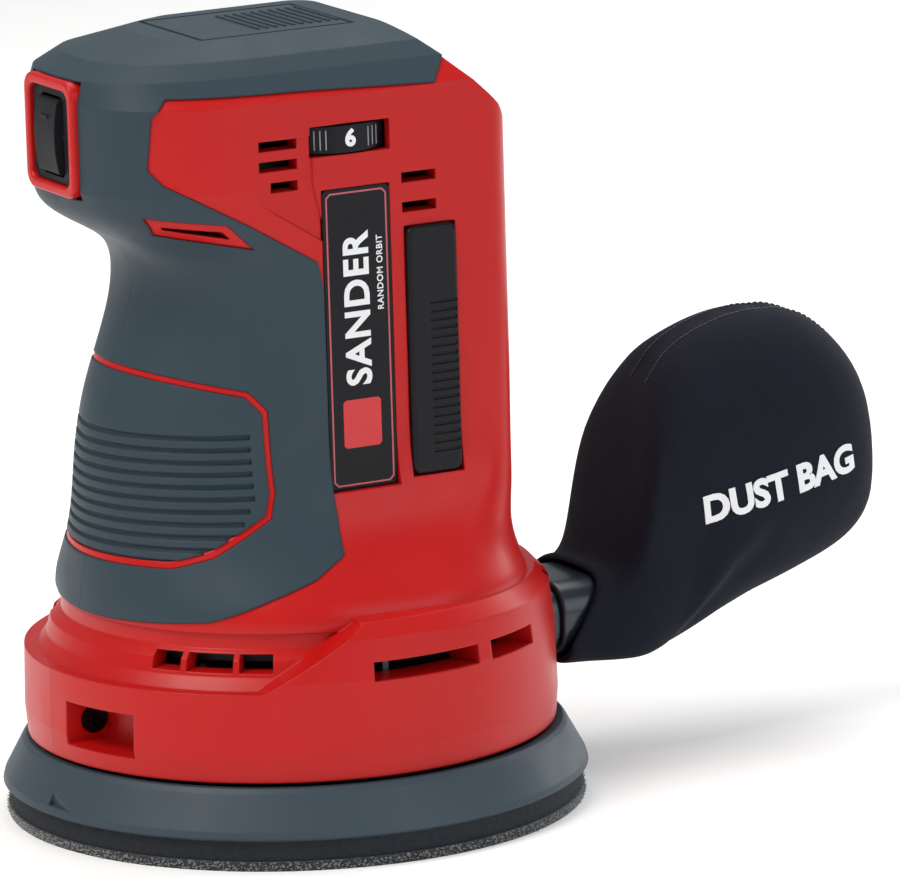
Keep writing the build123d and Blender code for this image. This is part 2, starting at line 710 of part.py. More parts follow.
mount_low = nose_z + 1
with BuildPart() as motor_mount:
    add(ring(collar_radius - 3.2, nose_radius, mount_low, mount_low + 4))
    with Locations((0, 0, mount_low)):
        with PolarLocations(30, 6):
            Cylinder(8, 20, mode=Mode.SUBTRACT)
keep("motor_mount", motor_mount.part)

# ------------------------------------------------------------------ fan, eccentric and pad
eccentric = (orbit, 0.0)
shroud_z = hub_top + 1.2
boss_notch = rod_x(boss_radius + 0.7, -base_boss_reach - 0.1, recess_floor_x + 0.1,
                   *rear_base_screw)
keep("fan_shroud", ring(collar_radius - 3.2, fan_radius - 20, shroud_z, shroud_z + 1.6)
     - boss_notch)

with BuildPart() as fan:
    add(ring(hub_radius, 0, hub_z, fan_disc_z))
    add(ring(hub_radius - 5, 0, fan_disc_z, hub_top))
    add(ring(fan_radius, 0, fan_disc_z, fan_disc_z + fan_disc_thickness))
    with Locations((0, 0, fan_disc_z - fan_lower_blade / 2)):
        with PolarLocations((fan_radius + 27) / 2, fan_blades):
            Box(fan_radius - 27, 1.4, fan_lower_blade)
    with Locations((0, 0, fan_disc_z + fan_disc_thickness + fan_upper_blade / 2)):
        with PolarLocations((fan_radius + 24) / 2, fan_blades):
            Box(fan_radius - 24, 1.4, fan_upper_blade)
    add(ring_sector(26, hub_radius - 2, hub_z + 2, fan_disc_z, 110, 250))
    add(ring(bearing_outer, 0, hub_z - 1, hub_z + bearing_width, eccentric), mode=Mode.SUBTRACT)
    add(ring(bearing_outer - 3, 0, hub_z, hub_z + bearing_width + 1, eccentric),
        mode=Mode.SUBTRACT)
    add(ring(shaft_radius, 0, hub_z, hub_top + 1), mode=Mode.SUBTRACT)
keep("dust_fan", fan.part)

inner, outside, rolling = ball_bearing(hub_z, bearing_bore, bearing_outer, bearing_width, 9,
                                       eccentric)
keep("pad_bearing_outer", outside + rolling)
keep("pad_bearing_inner", inner)

plate_low = hook_thickness + cushion_thickness
plate_top = plate_low + pad_plate_thickness
pad_hub_top = plate_top + 3.0
with BuildPart() as spindle:
    add(ring(bearing_bore, 0, pad_hub_top, hub_z + bearing_width, eccentric))
    add(ring(11.0, 0, pad_hub_top, hub_z - 1.2, eccentric))
    add(ring(bearing_bore + 1.6, 0, hub_z - 1.2, hub_z, eccentric))
    add(ring(2.5, 0, pad_hub_top, hub_z + bearing_width - 2, eccentric), mode=Mode.SUBTRACT)
keep("pad_spindle", spindle.part)

washer_low = plate_low + 1.0
keep("pad_washer", ring(6.5, 2.6, washer_low, washer_low + 1.0, eccentric))
with BuildPart() as pad_screw:
    add(ring(2.5, 0, washer_low, hub_z + bearing_width - 2, eccentric))
    add(ring(5.0, 0, washer_low - 3.0, washer_low, eccentric))
    with BuildSketch(Plane.XY.offset(washer_low - 3.0)):
        with Locations(eccentric):
            RegularPolygon(2.5, 6)
    extrude(amount=1.8, mode=Mode.SUBTRACT)
keep("pad_screw", pad_screw.part)

rim_z = plate_low - 0.5
cone_top = rim_z + pad_cone_height
rim_radius = pad_diameter / 2 + pad_rim_flare
cone_radius = rim_radius - pad_cone_inset
dust_holes = [Location((orbit + pad_hole_circle / 2 * cos(radians(a)),
                        pad_hole_circle / 2 * sin(radians(a)), plate_low))
              for a in [360 / pad_hole_count * i for i in range(pad_hole_count)]]


def pad_holes(radius):
    """The extraction holes as one set of upright bars."""
    with BuildPart() as bars:
        with Locations(*dust_holes):
            Cylinder(radius, 60)
    return bars.part


with BuildPart() as plate:
    with BuildSketch(Plane.XZ):
        with BuildLine():
            Polyline((0, plate_low), (rim_radius - 1.4, plate_low), (rim_radius - 0.9, rim_z),
                     (rim_radius, rim_z + 0.6), (rim_radius - 0.4, rim_z + 2.0),
                     (cone_radius + 0.9, cone_top - 1.0), (cone_radius, cone_top),
                     (cone_radius - pad_cone_wall, cone_top - 0.2),
                     (rim_radius - 4.6, plate_top + 1.2), (rim_radius - 7.6, plate_top),
                     (13.0, plate_top), (12.0, pad_hub_top), (0, pad_hub_top), close=True)
        make_face()
    revolve(axis=Axis.Z)
pad_plate = Location((orbit, 0, 0)) * plate.part
pad_plate -= [ring(7.0, 0, 0, washer_low + 1.0, eccentric), ring(2.6, 0, 0, 40, eccentric),
              pad_holes(pad_hole_diameter / 2)]
rim_notch = block(orbit + 6, orbit + 16, -70, -rim_radius + 2.2, rim_z + 2.2, rim_z + 5.6)
pad_plate -= rim_notch
keep("pad_plate", pad_plate)

cushion = ring(pad_diameter / 2 - 0.6, pad_centre_hole / 2, hook_thickness, plate_low, eccentric)
keep("pad_cushion", cushion - pad_holes(pad_hole_diameter / 2))
hook_face = ring(pad_diameter / 2, pad_centre_hole / 2, 0, hook_thickness, eccentric)
keep("hook_face", hook_face - pad_holes(pad_hole_diameter / 2))

# ------------------------------------------------------------------ base plate and brake ring
keep("base_plate", ring(skirt_radius - skirt_wall, 27.0, base_plate_z, base_plate_top))
keep("brake_ring", ring(51.5, 48.5, plate_top + 0.4, base_plate_z))

# ------------------------------------------------------------------ dust port and bag
port_inner = port_tube(port_width - 2 * port_wall, port_height - 2 * port_wall,
                       port_radius - port_wall, port_start - 6, 90)
port_flange = port_tube(port_width + 3.5, port_height + 2.4, port_radius + 1, 56.2, 59.2)
dust_port = port_tube(port_width, port_height, port_radius, port_start, port_end) \
    - ring(fan_radius + 3, 0, 0, 60)
dust_port += port_flange - ring(skirt_radius + 0.1, 0, 0, 60)
keep("dust_port", dust_port - port_inner)

gasket = port_tube(port_width + 2 * sleeve_gap, port_height + 2 * sleeve_gap,
                   port_radius + sleeve_gap, 66.0, 67.6)
gasket -= port_tube(port_width + 2 * running_gap, port_height + 2 * running_gap,
                    port_radius + running_gap, 65, 70)
keep("port_gasket", gasket)

sleeve_width = port_width + 2 * sleeve_gap + 2 * sleeve_wall
sleeve_height = port_height + 2 * sleeve_gap + 2 * sleeve_wall
sleeve_radius = port_radius + sleeve_gap + sleeve_wall
frame_start = sleeve_end - 3.0
frame_width, frame_height = sleeve_width + 5.0, sleeve_height + 5.0
fit_gap = 0.25
with BuildPart() as connector:
    add(port_tube(sleeve_width, sleeve_height, sleeve_radius, sleeve_start, sleeve_end))
    fillet(connector.faces().sort_by(Axis.Y)[0].edges(), 0.8)
    add(port_tube(port_width + 2 * sleeve_gap, port_height + 2 * sleeve_gap,
                  port_radius + sleeve_gap, sleeve_start - 1, port_end + 0.6),
        mode=Mode.SUBTRACT)
    add(port_tube(port_width - 2, port_height - 2, port_radius - 1, 60, 90), mode=Mode.SUBTRACT)
keep("bag_connector", connector.part)

with BuildPart() as bag_frame:
    add(port_tube(frame_width, frame_height, sleeve_radius + 2.6, frame_start, sleeve_end))
    add(port_tube(sleeve_width, sleeve_height, sleeve_radius, 70, 90), mode=Mode.SUBTRACT)
keep("bag_frame", bag_frame.part)

bag_height = bag_top - bag_bottom
bag_length = bag_rear - bag_front
# the bag's side outline, as shares of its length and height
bag_outline = [(0.01, 0.16), (0.08, 0.015), (0.33, 0.01), (0.64, 0.07), (0.85, 0.145),
               (0.955, 0.235), (0.997, 0.42), (0.965, 0.66), (0.89, 0.86), (0.80, 0.975),
               (0.67, 1.0), (0.50, 0.975), (0.32, 0.88), (0.18, 0.70), (0.08, 0.46)]


def bag_section(x, share):
    """The bag's outline at one place across its width, drawn in towards its middle."""
    with BuildSketch(Plane.YZ.offset(x)) as section:
        with BuildLine():
            Spline(*[(bag_front + bag_length * (0.5 + (u - 0.5) * share),
                      bag_bottom + bag_height * (0.5 + (v - 0.5) * share))
                     for u, v in bag_outline], periodic=True)
        make_face()
    return section.sketch


bag_shares = [(1.0, 0.84), (0.94, 0.92), (0.8, 0.97), (0.5, 0.995), (0.0, 1.0)]
neck_size = 2 * (bag_neck_wall + fit_gap)
with BuildPart() as bag:
    spots = [(-bag_half_width * x, share) for x, share in bag_shares]
    spots += [(-x, share) for x, share in reversed(spots[:-1])]
    loft(sections=[bag_section(x, share) for x, share in spots], ruled=True)
    add(port_tube(sleeve_width + neck_size, sleeve_height + neck_size - 2,
                  sleeve_radius + bag_neck_wall, bag_neck_start, bag_front + 14))
    add(side_prism([(50, port_z - 4), (66, port_z - 3.4), (71, port_z + 12), (71, 60), (50, 60)]),
        mode=Mode.SUBTRACT)
    add(port_tube(sleeve_width + 2 * fit_gap, sleeve_height + 2 * fit_gap,
                  sleeve_radius + fit_gap, 50, sleeve_end + 1.2), mode=Mode.SUBTRACT)
    add(port_tube(frame_width + 2 * fit_gap, frame_height + 2 * fit_gap,
                  sleeve_radius + 3, frame_start - fit_gap, sleeve_end + 1.2),
        mode=Mode.SUBTRACT)
keep("dust_bag", bag.part)

# ------------------------------------------------------------------ battery dock
with BuildPart() as terminals:
    add(block(-15, 15, dock_face_y - dock_floor - 7, dock_face_y - dock_floor, 69, 97))
    add(block(-12, 12, dock_face_y - dock_floor, dock_face_y + 1.2, 72, 94))
keep("terminal_block", terminals.part)
with BuildPart() as blades:
    for x in (-8.0, -2.7, 2.7, 8.0):
        add(block(x - 0.4, x + 0.4, dock_face_y + 1.2, handle_rear - lip_thickness, 75, 91))
keep("terminal_blades", blades.part)

# ------------------------------------------------------------------ screws


def screw_x(head_x, tip_x, y, z):
    """A cross-head screw along X, its head at head_x."""
    way = 1 if tip_x > head_x else -1
    shank = rod_x(screw_radius, *sorted((head_x, tip_x)), y, z)
    cap = rod_x(screw_head_radius, *sorted((head_x, head_x - way * screw_head_length)), y, z)
    cross_x = head_x - way * screw_head_length
    cross = block(*sorted((cross_x, cross_x + way * 1.2)), y - 1.6, y + 1.6, z - 0.35, z + 0.35) \
        + block(*sorted((cross_x, cross_x + way * 1.2)), y - 0.35, y + 0.35, z - 1.6, z + 1.6)
    return shank + cap - cross


with BuildPart() as housing_screws:
    for y, z in body_screws:
        add(screw_x(-boss_head, boss_head + 2.5, y, z))
keep("housing_screws", housing_screws.part)
with BuildPart() as lower_screws:
    for y, z in base_screws:
        add(screw_x(recess_floor_x - screw_head_length, -base_boss_reach + 2.5, y, z))
keep("base_screws", lower_screws.part)
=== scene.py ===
import bmesh
import bpy
import math
import random
from mathutils import Matrix, Vector
from mathutils.bvhtree import BVHTree


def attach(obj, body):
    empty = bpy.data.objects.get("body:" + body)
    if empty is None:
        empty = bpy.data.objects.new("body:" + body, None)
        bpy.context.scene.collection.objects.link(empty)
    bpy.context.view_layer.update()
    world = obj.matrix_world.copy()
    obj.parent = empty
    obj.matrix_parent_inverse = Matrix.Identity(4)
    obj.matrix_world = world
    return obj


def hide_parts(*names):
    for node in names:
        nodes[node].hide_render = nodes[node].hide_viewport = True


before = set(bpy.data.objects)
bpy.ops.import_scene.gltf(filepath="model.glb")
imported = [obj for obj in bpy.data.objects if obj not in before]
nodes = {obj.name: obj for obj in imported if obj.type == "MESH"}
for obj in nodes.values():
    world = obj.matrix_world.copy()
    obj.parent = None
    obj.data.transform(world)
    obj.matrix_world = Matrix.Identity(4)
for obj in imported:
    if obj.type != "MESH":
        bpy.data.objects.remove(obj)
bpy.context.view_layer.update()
scene = bpy.context.scene
mm = 0.001


def srgb(hexText):  # a #rrggbb colour as linear RGBA
    parts = [int(hexText[i:i + 2], 16) / 255 for i in (1, 3, 5)]
    return [c / 12.92 if c <= 0.04045 else ((c + 0.055) / 1.055) ** 2.4 for c in parts] + [1.0]


def addNode(tree, kind, settings=None, values=None, links=None):
    node = tree.nodes.new(kind)
    for name, value in (settings or {}).items():
        setattr(node, name, value)
    for name, value in (values or {}).items():
        node.inputs[name].default_value = value
    for name, socket in (links or {}).items():
        tree.links.new(socket, node.inputs[name])
    return node


def newMaterial(name, colour, roughness, values=None):
    mat = bpy.data.materials.new(name)
    mat.use_nodes = True
    mat.diffuse_color = srgb(colour)
    shader = mat.node_tree.nodes["Principled BSDF"]
    shader.inputs["Base Color"].default_value = srgb(colour)
    shader.inputs["Roughness"].default_value = roughness
    for key, value in (values or {}).items():
        shader.inputs[key].default_value = value
    return mat, mat.node_tree, shader


def tinted(tree, shader, coord, colour, other, size):  # slow drift between two close colours
    cloud = addNode(tree, "ShaderNodeTexNoise", values={"Scale": 1 / (size * mm), "Detail": 3.0},
                    links={"Vector": coord})
    drift = addNode(tree, "ShaderNodeMix", {"data_type": "RGBA"},
                    {6: srgb(colour), 7: srgb(other)}, {0: cloud.outputs["Fac"]})
    tree.links.new(drift.outputs[2], shader.inputs["Base Color"])
    return cloud


def roughened(tree, shader, coord, size, low, high):  # handling marks: gloss varies in patches
    patches = addNode(tree, "ShaderNodeTexNoise", values={"Scale": 1 / (size * mm), "Detail": 5.0},
                      links={"Vector": coord})
    span = addNode(tree, "ShaderNodeMapRange", values={"From Min": 0.3, "From Max": 0.7,
                   "To Min": low, "To Max": high}, links={"Value": patches.outputs["Fac"]})
    tree.links.new(span.outputs["Result"], shader.inputs["Roughness"])


# moulded plastics: the tool's steel is spark eroded, which leaves a fine even grain that
# breaks up the gloss, and every edge carries a small radius that catches the light
plastics = {
    "redAbs": {"colour": "#bf1512", "other": "#b30f0e", "low": 0.30, "high": 0.40,
               "grain": 0.45, "depth": 0.010, "edge": 0.55, "sheen": 0.0, "gloss": 0.28},
    "slateTpe": {"colour": "#33424b", "other": "#2e3c45", "low": 0.46, "high": 0.56,
                 "grain": 0.40, "depth": 0.020, "edge": 0.6, "sheen": 0.02, "gloss": 0.22},
    "blackAbs": {"colour": "#0e0f15", "other": "#0b0c10", "low": 0.36, "high": 0.46,
                 "grain": 0.40, "depth": 0.008, "edge": 0.3, "sheen": 0.0, "gloss": 0.22},
    "slateNylon": {"colour": "#39474f", "other": "#33404a", "low": 0.44, "high": 0.54,
                   "grain": 0.50, "depth": 0.016, "edge": 0.45, "sheen": 0.0, "gloss": 0.3},
    "portAbs": {"colour": "#1f2d35", "other": "#1a262d", "low": 0.20, "high": 0.28,
                "grain": 0.50, "depth": 0.006, "edge": 0.7, "sheen": 0.0, "gloss": 0.55},
    "darkRubber": {"colour": "#121419", "other": "#16181d", "low": 0.55, "high": 0.68,
                   "grain": 0.35, "depth": 0.020, "edge": 0.3, "sheen": 0.02, "gloss": 0.25},
}


def mouldedPlastic(name):
    p = plastics[name]
    mat, tree, shader = newMaterial(name, p["colour"], p["low"], {
        "Specular IOR Level": p["gloss"], "Sheen Weight": p["sheen"], "Sheen Roughness": 0.4})
    coord = addNode(tree, "ShaderNodeTexCoord").outputs["Object"]
    tinted(tree, shader, coord, p["colour"], p["other"], 30)
    roughened(tree, shader, coord, 12, p["low"], p["high"])
    rounded = addNode(tree, "ShaderNodeBevel", {"samples": 6}, {"Radius": p["edge"] * mm})
    grain = addNode(tree, "ShaderNodeTexNoise", values={"Scale": 1 / (p["grain"] * mm),
                    "Detail": 2.0, "Roughness": 0.6}, links={"Vector": coord})
    bump = addNode(tree, "ShaderNodeBump", values={"Strength": 0.8, "Distance": p["depth"] * mm},
                   links={"Height": grain.outputs["Fac"], "Normal": rounded.outputs["Normal"]})
    tree.links.new(bump.outputs["Normal"], shader.inputs["Normal"])
    return mat


# metals: drawn, turned or cast; the fine lines follow how each was worked
metals = {
    "brightSteel": {"colour": "#b9babd", "low": 0.18, "high": 0.30, "lines": (2200, 2200, 160)},
    "blackOxideSteel": {"colour": "#2a2a2e", "low": 0.30, "high": 0.42, "lines": (900, 900, 900)},
    "siliconSteel": {"colour": "#77787b", "low": 0.35, "high": 0.50, "lines": (60, 60, 2000)},
    "enamelledCopper": {"colour": "#a5562c", "low": 0.22, "high": 0.34, "lines": (300, 300, 2500)},
    "tinnedBrass": {"colour": "#c9a860", "low": 0.22, "high": 0.34, "lines": (1500, 200, 200)},
    "castAlloy": {"colour": "#9b9da1", "low": 0.38, "high": 0.52, "lines": (700, 700, 700)},
}


def workedMetal(name):
    p = metals[name]
    mat, tree, shader = newMaterial(name, p["colour"], p["low"], {"Metallic": 1.0})
    coord = addNode(tree, "ShaderNodeTexCoord").outputs["Object"]
    stretch = addNode(tree, "ShaderNodeMapping", values={"Scale": p["lines"]},
                      links={"Vector": coord})
    lines = addNode(tree, "ShaderNodeTexNoise", values={"Scale": 1.0, "Detail": 3.0},
                    links={"Vector": stretch.outputs["Vector"]})
    span = addNode(tree, "ShaderNodeMapRange", values={"To Min": p["low"], "To Max": p["high"]},
                   links={"Value": lines.outputs["Fac"]})
    tree.links.new(span.outputs["Result"], shader.inputs["Roughness"])
    bump = addNode(tree, "ShaderNodeBump", values={"Strength": 0.5, "Distance": 0.01 * mm},
                   links={"Height": lines.outputs["Fac"]})
    tree.links.new(bump.outputs["Normal"], shader.inputs["Normal"])
    return mat


def closedFoam():  # EVA foam: dull black with fine open cells
    mat, tree, shader = newMaterial("evaFoam", "#1c1f24", 0.85, {"Specular IOR Level": 0.3})
    coord = addNode(tree, "ShaderNodeTexCoord").outputs["Object"]
    cells = addNode(tree, "ShaderNodeTexVoronoi", values={"Scale": 1 / (0.8 * mm)},
                    links={"Vector": coord})
    tinted(tree, shader, coord, "#191c21", "#2b3036", 1.2)
    bump = addNode(tree, "ShaderNodeBump", values={"Strength": 0.9, "Distance": 0.15 * mm},
                   links={"Height": cells.outputs["Distance"]})
    tree.links.new(bump.outputs["Normal"], shader.inputs["Normal"])
    return mat


def hookFelt():  # nylon hook tape: black ground, pale hook tips
    mat, tree, shader = newMaterial("nylonHookTape", "#1b1c1f", 0.75, {"IOR": 1.53,
                                    "Sheen Weight": 0.3})
    coord = addNode(tree, "ShaderNodeTexCoord").outputs["Object"]
    tufts = addNode(tree, "ShaderNodeTexVoronoi", values={"Scale": 1 / (0.9 * mm)},
                    links={"Vector": coord})
    ramp = addNode(tree, "ShaderNodeValToRGB", links={"Fac": tufts.outputs["Distance"]})
    ramp.color_ramp.elements[0].color = srgb("#8d8f92")
    ramp.color_ramp.elements[1].color = srgb("#17181a")
    ramp.color_ramp.elements[1].position = 0.42
    tree.links.new(ramp.outputs["Color"], shader.inputs["Base Color"])
    bump = addNode(tree, "ShaderNodeBump", {"invert": True},
                   {"Strength": 1.0, "Distance": 0.3 * mm},
                   {"Height": tufts.outputs["Distance"]})
    tree.links.new(bump.outputs["Normal"], shader.inputs["Normal"])
    return mat


def printedInk(name, colour, roughness):  # pad-printed ink, a thin even film
    mat, tree, shader = newMaterial(name, colour, roughness)
    coord = addNode(tree, "ShaderNodeTexCoord").outputs["Object"]
    roughened(tree, shader, coord, 1.5, roughness - 0.06, roughness + 0.08)
    return mat


def glassEpoxy():  # board laminate with a satin solder mask
    mat, tree, shader = newMaterial("glassEpoxy", "#12522c", 0.35)
    coord = addNode(tree, "ShaderNodeTexCoord").outputs["Object"]
    tinted(tree, shader, coord, "#12522c", "#0e4726", 3)
    return mat


def wovenPolyester():  # dull navy-black polyester: a plain weave with a slight sheen
    mat, tree, shader = newMaterial("wovenPolyester", "#191c26", 0.85, {
        "Specular IOR Level": 0.15, "Sheen Weight": 0.02, "Sheen Roughness": 0.45})
    coord = addNode(tree, "ShaderNodeTexCoord").outputs["Object"]
    tinted(tree, shader, coord, "#1b1e29", "#151822", 14)
    heights = []
    for way in ("Y", "Z"):
        threads = addNode(tree, "ShaderNodeTexWave",
                          {"wave_type": "BANDS", "bands_direction": way},
                          {"Scale": 0.314 / (0.6 * mm), "Distortion": 0.5, "Detail": 1.0},
                          {"Vector": coord})
        heights.append(threads.outputs["Fac"])
    weave = addNode(tree, "ShaderNodeMath", {"operation": "MAXIMUM"})
    tree.links.new(heights[0], weave.inputs[0])
    tree.links.new(heights[1], weave.inputs[1])
    creases = addNode(tree, "ShaderNodeTexNoise", values={"Scale": 1 / (26 * mm), "Detail": 3.0},
                      links={"Vector": coord})
    crumple = addNode(tree, "ShaderNodeBump", values={"Strength": 0.6, "Distance": 1.6 * mm},
                      links={"Height": creases.outputs["Fac"]})
    bump = addNode(tree, "ShaderNodeBump", values={"Strength": 0.55, "Distance": 0.12 * mm},
                   links={"Height": weave.outputs["Value"], "Normal": crumple.outputs["Normal"]})
    tree.links.new(bump.outputs["Normal"], shader.inputs["Normal"])
    return mat


def threadFibre(name, colour, other):  # spun or looped fibre, matte with a soft sheen
    mat, tree, shader = newMaterial(name, colour, 0.7, {"Sheen Weight": 0.3})
    coord = addNode(tree, "ShaderNodeTexCoord").outputs["Object"]
    tinted(tree, shader, coord, colour, other, 1.1)
    return mat


finish = {name: mouldedPlastic(name) for name in plastics}
finish.update({name: workedMetal(name) for name in metals})
finish.update({"evaFoam": closedFoam(), "hookTape": hookFelt(), "glassEpoxy": glassEpoxy(),
               "whiteInk": printedInk("whiteInk", "#e9ebec", 0.42),
               "redInk": printedInk("redInk", "#c9282b", 0.40),
               "pinkInk": printedInk("pinkInk", "#b8555c", 0.42),
               "greyInk": printedInk("greyInk", "#8f949a", 0.45),
               "wovenPolyester": wovenPolyester(),
               "polyesterThread": threadFibre("polyesterThread", "#23252f", "#2c2f3a"),
               "nylonLoops": threadFibre("nylonLoops", "#6f7276", "#a9acb0")})
print("materials made:", len(finish))

finishOfNode = {
    "redAbs": ["housing_left", "housing_right", "switch_bezel"],
    "slateTpe": ["grip_cover_left", "grip_cover_right", "palm_panel"],
    "blackAbs": ["label_plate_left", "label_plate_right", "switch_body", "motor_end_cap",
                 "motor_mount", "fan_shroud", "base_plate", "terminal_block", "speed_dial",
                 "side_strip_left", "side_strip_right", "motor_brushes"],
    "darkRubber": ["switch_panel", "switch_rocker", "brake_ring", "port_gasket"],
    "slateNylon": ["pad_plate", "bag_frame"],
    "portAbs": ["dust_port", "bag_connector"],
    "brightSteel": ["motor_can", "motor_shaft", "motor_bearing_lower_inner",
                    "motor_bearing_lower_outer", "motor_bearing_upper_inner",
                    "motor_bearing_upper_outer", "pad_bearing_outer", "pad_bearing_inner",
                    "pad_spindle", "pad_washer", "potentiometer"],
    "blackOxideSteel": ["housing_screws", "base_screws", "pad_screw"],
    "siliconSteel": ["rotor_core", "motor_magnets"],
    "enamelledCopper": ["rotor_windings", "commutator"],
    "tinnedBrass": ["brush_holders", "terminal_blades"],
    "castAlloy": ["dust_fan"],
    "glassEpoxy": ["control_board"],
    "evaFoam": ["pad_cushion"],
    "hookTape": ["hook_face"],
}
for name, members in finishOfNode.items():
    for member in members:
        slots = nodes[member].data.materials
        slots.clear()
        slots.append(finish[name])
print("CAD nodes dressed:", sum(len(v) for v in finishOfNode.values()))


def placed(obj, mat, body):  # a finished piece goes into the scene, riding on its body
    if obj.name not in scene.collection.objects:
        scene.collection.objects.link(obj)
    obj.data.materials.clear()
    obj.data.materials.append(mat)
    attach(obj, body)
    return obj


def meshPiece(name, bm, mat, body, smooth=True):
    mesh = bpy.data.meshes.new(name)
    bmesh.ops.recalc_face_normals(bm, faces=bm.faces)
    bm.to_mesh(mesh)
    bm.free()
    for poly in mesh.polygons:
        poly.use_smooth = smooth
    return placed(bpy.data.objects.new(name, mesh), mat, body)


def textMesh(words, size, weight, depth, spacing=1.0):  # flat block letters, centred
    curve = bpy.data.curves.new("letters", "FONT")
    curve.body = words
    curve.size = size
    curve.offset = weight
    curve.extrude = depth
    curve.space_character = spacing
    curve.align_x = "CENTER"
    curve.align_y = "CENTER"
    curve.resolution_u = 4
    obj = bpy.data.objects.new("letters", curve)
    scene.collection.objects.link(obj)
    bpy.context.view_layer.update()
    mesh = bpy.data.meshes.new_from_object(obj)
    bpy.data.objects.remove(obj)
    bpy.data.curves.remove(curve)
    return mesh


# ---- dust bag: a woven bag, shaped by rings along its length and blown up by a short simulation
bagShape = {  # mm: place along Y, bottom, top, half width, and how square the section is
    "rings": [(60.8, 22.3, 43.2, 16.3, 3.6), (68, 22.0, 43.8, 16.7, 3.8),
              (74, 21.8, 50, 18.0, 4.6), (80, 21.7, 66, 18.9, 5.0), (86, 22.6, 77.5, 19.0, 4.0),
              (94, 24.2, 86.0, 19.0, 3.0), (102, 26.2, 90.4, 19.0, 2.6),
              (110, 28.6, 92.6, 19.0, 2.5), (118, 30.6, 93.0, 18.6, 2.5),
              (126, 33.2, 91.8, 17.6, 2.5), (132, 35.4, 88.4, 16.2, 2.5),
              (137, 38.0, 83.4, 14.2, 2.5), (141.0, 41.4, 77.4, 11.4, 2.5),
              (143.4, 45.4, 71.0, 8.0, 2.5), (144.8, 51.0, 64.0, 4.0, 2.5)],
    "around": 72, "step": 2.2, "pressure": 4.0, "frames": 20, "cap": 2.4, "neckEnd": 84.0}


def smoothTable(table, y):  # a soft curve through the ring table
    if y <= table[0][0]:
        return table[0][1:]
    for i in range(len(table) - 1):
        if y <= table[i + 1][0]:
            p1, p2 = table[i], table[i + 1]
            p0 = table[max(i - 1, 0)]
            p3 = table[min(i + 2, len(table) - 1)]
            t = (y - p1[0]) / (p2[0] - p1[0])
            out = []
            for k in (1, 2, 3, 4):
                m1 = (p2[k] - p0[k]) / (p2[0] - p0[0]) * (p2[0] - p1[0])
                m2 = (p3[k] - p1[k]) / (p3[0] - p1[0]) * (p2[0] - p1[0])
                out.append((2 * t ** 3 - 3 * t ** 2 + 1) * p1[k] + (t ** 3 - 2 * t ** 2 + t) * m1
                           + (3 * t ** 2 - 2 * t ** 3) * p2[k] + (t ** 3 - t ** 2) * m2)
            return out
    return table[-1][1:]


def ringPoint(y, low, high, half, angle, square):
    c, s = math.cos(angle), math.sin(angle)
    x = half * math.copysign(abs(c) ** (2 / square), c)
    z = (low + high) / 2 + (high - low) / 2 * math.copysign(abs(s) ** (2 / square), s)
    return Vector((x, y, z))


def mouthStart(z):  # the mouth is cut slanting, longer below
    return 60.8 + 9.5 * min(max((z - 28.0) / 15.0, 0.0), 1.0)


